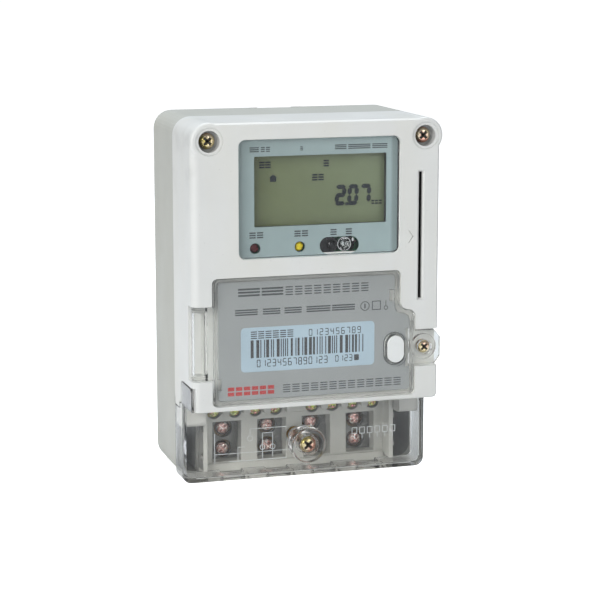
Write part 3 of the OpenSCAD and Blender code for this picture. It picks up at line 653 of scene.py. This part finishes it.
def display_marks():
    """The reading on the display, with plain lines for its words, the marks printed round it, and a painted
    shade line along the panel's edge.
    """
    front = front_depth("lcd_glass")
    digits_left, digit_pitch, point_left = 8.6, 5.65, 13.6
    low, width, height, thick = 122.4, 5.0, 9.0, 1.85
    shapes = []
    for i, figure in enumerate("207"):
        left = digits_left + i * digit_pitch
        shapes += digit(figure, left, low, width, height, thick, slant=0.06, gap=0.16)
    shapes.append(bar(point_left, point_left + 1.3, low, low + 1.3, 0.2))
    for left in (25.4, 27.1, 28.8):
        shapes += lines(left, left + 1.3, 122.5, 124.3, 2, 0.55)
    for left, bottom in ((-24.9, 139.6), (-22.2, 139.6), (3.7, 139.5), (-1.4, 133.6), (1.4, 133.6)):
        shapes += lines(left, left + 2.4, bottom, bottom + 2.8, 3, 0.62)
    house = [(-20.1, 133.7), (-17.4, 133.7), (-17.4, 135.4), (-16.9, 135.4),
             (-18.75, 136.8), (-20.6, 135.4), (-20.1, 135.4)]
    shapes.append(house)
    raised("lcd_segments", shapes, (front - 0.3, front - 0.26), "case", SEGMENT_INK)

    front = front_depth("display_mask")
    marks = lines(-7.8, -6.5, 147.1, 148.8)
    for left, right in ((-30.1, -26.0), (-25.1, -23.4), (-22.9, -21.1)):
        marks += lines(left, right, 146.9, 149.0)
    for left, right in ((7.6, 12.8), (13.6, 23.6), (24.4, 31.3)):
        marks += lines(left, right, 147.1, 149.1)
    for left in (-30.3, -27.0, -10.4, -7.1, 5.7, 12.6):
        marks += lines(left, left + 2.8, 110.3, 112.9)
    raised("panel_marks", marks, (front - 0.015, front - 0.004), "case", DARK_INK)
    # painted shade: a dark line round the panel, for the dark edge of the lens
    border = band(*extent("display_mask"), 2.6, 0.35)
    raised("panel_painted_edge_shade", border, (front - 0.012, front - 0.003), "case", BLACK_INK)


def optical_port():
    """The dark body round the receiver, and the bright cup and lead frame under the clear emitter."""
    x0, x1, z0, z1 = extent("ir_receiver")
    e0, e1, _, _ = extent("ir_emitter")
    front = front_depth("ir_receiver")
    dark = MATERIALS["dark_lamp"]
    middle, half, corner = (z0 + z1) / 2, 3.3, 3.0
    body = [bar(x0 - 3.2, x1 + 0.35, middle - half, middle + half, corner)]
    raised("ir_receiver_body", body, (front + 1.6, front + 4.8), "case", dark)
    centre = (e0 + e1) / 2
    shards = random.Random(5)
    bowl = ring(centre, middle, 3.1, 0.3, 18)
    for _ in range(26):
        turn, reach, size = shards.uniform(0, math.tau), shards.uniform(0.3, 2.6), shards.uniform(0.35, 0.8)
        x, z = centre + reach * math.cos(turn), middle + reach * math.sin(turn)
        bowl.append([(x + size * math.cos(turn + a), z + size * math.sin(turn + a)) for a in (0, 2.0, 4.3)])
    bowl.append(bar(e1 + 0.9, e1 + 1.7, middle + 1.0, middle + 2.6, 0.3))
    body = [bar(e0 - 0.2, e1 + 3.0, middle - half, middle + half, corner)]
    raised("ir_emitter_body", body, (front + 4.9, front + 5.4), "case", dark)
    raised("ir_emitter_bowl", bowl, (front + 2.0, front + 4.6), "case", SATIN_METAL)


def nameplate_marks():
    """Rows of plain lines and three plain signs on the nameplate, and the red blocks below the sticker."""
    front = front_depth("nameplate")
    depths = (front - 0.03, front - 0.005)
    rows = lines(-35.4, -25.8, 85.5, 89.0) + lines(-25.0, -15.4, 85.5, 89.0)
    for i in range(9):
        rows += lines(-14.4 + 4.27 * i, -11.1 + 4.27 * i, 85.2, 89.0, 4, 0.45)
    for left, right in ((-36.8, -26.8), (-24.5, -16.7), (-14.9, -7.2), (-5.0, 5.8), (6.5, 16.9)):
        rows += lines(left, right, 77.3, 79.9)
    rows += ring(21.5, 78.6, 2.1, 0.35) + [bar(21.2, 21.8, 77.5, 79.7, 0.2)]
    rows += stroke([(24.9, 76.8), (28.6, 76.8), (28.6, 80.5), (24.9, 80.5), (24.9, 76.8)], 0.35)
    rows += ring(31.1, 77.4, 0.95, 0.3, 16) + stroke([(31.1, 78.5), (31.1, 80.5)], 0.3)
    for i in range(13):
        rows += lines(-15.6 + 4.21 * i, -12.3 + 4.21 * i, 42.7, 46.2, 4, 0.45)
    raised("nameplate_print", rows, depths, "nameplate_cover", DARK_INK)
    blocks = []
    for i in range(6):
        blocks += lines(-40.2 + 3.55 * i, -37.3 + 3.55 * i, 42.5, 46.3, 2, 0.75)
    raised("nameplate_red_print", blocks, depths, "nameplate_cover", RED_INK)


def label_marks():
    """Plain lines, runs of figures and random bars on the sticker."""
    front = front_depth("barcode_label")
    depths = (front - 0.02, front - 0.004)
    shapes = []
    for i in range(6):
        shapes += lines(-29.9 + 3.25 * i, -27.2 + 3.25 * i, 67.0, 70.2, 4, 0.5)
    for i, figure in enumerate("0123456789"):
        shapes += digit(figure, -4.0 + 2.45 * i, 66.9, 1.6, 3.0, 0.34)
    for i, figure in enumerate("01234567890123"):
        shapes += digit(figure, -27.3 + 2.32 * i, 54.5, 1.65, 3.3, 0.36)
    for i, figure in enumerate("0123"):
        shapes += digit(figure, 8.0 + 2.1 * i, 54.8, 1.5, 2.9, 0.34)
    shapes.append(bar(16.6, 18.8, 54.9, 57.5, 0.3))
    widths = random.Random(11)
    x, bars_right, bars_low, bars_high = -30.0, 21.0, 58.6, 66.4
    while x < bars_right:
        width = widths.choice((0.45, 0.45, 0.9, 1.3))
        shapes.append([(x, bars_low), (x + width, bars_low), (x + width, bars_high), (x, bars_high)])
        x += width + widths.choice((0.5, 0.5, 0.8, 1.2))
    raised("label_print", shapes, depths, "nameplate_cover", BLACK_INK)


def cover_relief():
    """Raised wiring lines and a row of terminal boxes moulded on the terminal cover."""
    front = front_depth("terminal_cover") + 6.0
    paths = [
        [(-44.4, 11.6), (-44.4, 24.6)], [(-28.5, 23.2), (-28.5, 25.8), (-12.0, 25.8)],
        [(-22.9, 11.8), (-22.9, 23.6), (-18.3, 23.6), (-18.3, 12.8)], [(-44.4, 15.4), (-11.0, 15.4)],
        [(-38.0, 11.8), (-12.0, 11.8)], [(-34.0, 11.8), (-34.0, 18.0), (-31.0, 18.0)],
    ]
    rib = 0.22
    shapes = [part for path in paths for part in stroke(path, rib)]
    for x, z, radius in ((-22.9, 17.3, 1.2), (-18.3, 17.3, 1.2), (-28.5, 21.6, 1.3)):
        shapes += ring(x, z, radius, rib, 16)
    half, low, high, tail = 1.1, 20.2, 23.0, 18.0
    for i in range(6):
        x = 19.3 + 3.55 * i
        box = [(x - half, low), (x + half, low), (x + half, high), (x - half, high), (x - half, low)]
        shapes += stroke(box, 0.24) + stroke([(x, low), (x, tail)], rib)
    raised("cover_relief", shapes, (front - 0.12, front + 0.05), "terminal_cover", FROST_AND_PAINTED_GLINT)


def screw_crosses():
    """Shadowed floors for the cross recesses, which stand at 45 degrees in each screw head."""
    def cross(x, z, radius):
        arms = []
        for turn in (45, 135):
            c, t = math.cos(math.radians(turn)), math.sin(math.radians(turn))
            long, wide = radius * 0.6, radius * 0.15
            arms.append([(x + c * u - t * v, z + t * u + c * v)
                         for u, v in ((-long, -wide), (long, -wide), (long, wide), (-long, wide))])
        return arms

    def heads(node, rows, radius, recess, body):
        front = front_depth(node) + recess
        shapes = [arm for x, z in rows for arm in cross(x, z, radius)]
        raised(node + "_crosses", shapes, (front - 0.12, front - 0.02), body, CROSS_SHADE)

    def middle(node):
        x0, x1, z0, z1 = extent(node)
        return (x0 + x1) / 2, (z0 + z1) / 2

    x0, x1, z0, z1 = extent("case_screws")
    head = (z1 - z0) / 2
    pair = [(x0 + head, z0 + head), (x1 - head, z0 + head)]
    heads("case_screws", pair, 3.4, 1.0, "case")
    heads("nameplate_screw", [middle("nameplate_screw")], 2.9, 0.9, "nameplate_screw")
    heads("terminal_screw", [middle("terminal_screw")], 3.7, 1.1, "terminal_screw")


def collar_painted_ring():
    """A ring of painted shade where the button's collar meets the nameplate cover, for the dark refraction
    at the collar's edge.
    """
    x0, x1, z0, z1 = extent("display_button")
    front = front_depth("nameplate")
    depths = (front - 0.03, front - 0.005)
    shapes = band(x0 - 0.15, x1 + 0.15, z0 - 0.3, z1 + 0.3, 4.9, 0.35)
    raised("collar_painted_ring", shapes, depths, "nameplate_cover", DARK_INK)


def cover_glints():
    """Painted glints: frosted lines along the terminal cover's front corners, for the bright highlights on
    its edges.
    """
    depths = (COVER_FACE + 0.02, COVER_FACE + 0.06)
    shapes = [bar(left, right, low, high, 0.1) for left, right, low, high in (
        (-55.75, -55.4, 4.0, 35.6), (53.5, 53.9, 5.0, 30.5), (-50.0, 50.0, 2.15, 2.4))]
    raised("cover_painted_glints", shapes, depths, "terminal_cover", FROST_AND_PAINTED_GLINT)


display_marks()
optical_port()
screw_crosses()
collar_painted_ring()
cover_glints()
nameplate_marks()
label_marks()
cover_relief()


# ---- stage, light and camera ----

def studio():
    """A pale floor under soft lights, and a white surround."""
    p = Paint("studio_floor")
    tone = p.mix(p.uneven(3, 0, 0.5), (0.86, 0.86, 0.86, 1), (0.83, 0.83, 0.83, 1))
    glow = p.sum(p.add("ShaderNodeLightPath").outputs["Is Camera Ray"], 0.82, "MULTIPLY")
    p.set(Base_Color=tone, Roughness=0.9, Emission_Color=(1, 1, 1, 1), Emission_Strength=glow)
    size = 40.0
    mesh = bpy.data.meshes.new("studio_floor")
    corners = [(-size, -size, 0), (size, -size, 0), (size, size, 0), (-size, size, 0)]
    mesh.from_pydata(corners, [], [(0, 1, 2, 3)])
    mesh.materials.append(p.material)
    floor = bpy.data.objects.new("studio_floor", mesh)
    bpy.context.scene.collection.objects.link(floor)

    target = Vector((0, 0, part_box("rear_case")[1].z / 2))
    for name, place, power, width, height, colour in (
            ("key", (-1.05, -1.0, 0.8), 9.4, 0.8, 0.8, (1, 1, 0.985)),
            ("left_strip", (-0.9, -0.45, 0.3), 3.2, 0.08, 1.0, (1, 1, 1)),
            ("top", (0.05, 0.15, 1.2), 13.5, 1.0, 1.0, (0.86, 0.93, 1.0)),
            ("front", (0.7, -1.4, 0.35), 3.7, 0.7, 0.9, (1, 1, 0.99))):
        light = bpy.data.lights.new(name, "AREA")
        light.shape, light.size, light.size_y, light.energy = "RECTANGLE", width, height, power
        light.color = colour
        lamp = bpy.data.objects.new(name, light)
        lamp.location = place
        lamp.rotation_euler = (target - Vector(place)).to_track_quat("-Z", "Y").to_euler()
        bpy.context.scene.collection.objects.link(lamp)

    world = bpy.data.worlds.new("studio")
    bpy.context.scene.world = world
    world.use_nodes = True
    nodes, links = world.node_tree.nodes, world.node_tree.links
    lit = nodes["Background"]
    lit.inputs["Color"].default_value = (0.92, 0.96, 1.0, 1)
    lit.inputs["Strength"].default_value = 0.28
    seen = nodes.new("ShaderNodeBackground")
    seen.inputs["Color"].default_value = (1, 1, 1, 1)
    seen.inputs["Strength"].default_value = 1.0
    both = nodes.new("ShaderNodeMixShader")
    links.new(nodes.new("ShaderNodeLightPath").outputs["Is Camera Ray"], both.inputs[0])
    links.new(lit.outputs[0], both.inputs[1])
    links.new(seen.outputs[0], both.inputs[2])
    links.new(both.outputs[0], nodes["World Output"].inputs["Surface"])


def camera():
    """The viewing angle of the main picture."""
    data = bpy.data.cameras.new("camera")
    data.lens, data.sensor_width = 120.16, 36
    obj = bpy.data.objects.new("camera", data)
    obj.location = (-0.25487, -0.84108, 0.23485)
    obj.rotation_euler = [math.radians(a) for a in (79.80, 0.0, -16.99)]
    bpy.context.scene.collection.objects.link(obj)
    bpy.context.scene.camera = obj


studio()
camera()
scene = bpy.context.scene
scene.view_settings.view_transform = "Standard"
scene.cycles.use_denoising = True
scene.cycles.max_bounces = 20
scene.cycles.transmission_bounces = 18
scene.cycles.transparent_max_bounces = 16
scene.cycles.caustics_refractive = True
scene.cycles.blur_glossy = 0.6
scene.cycles.caustics_reflective = False
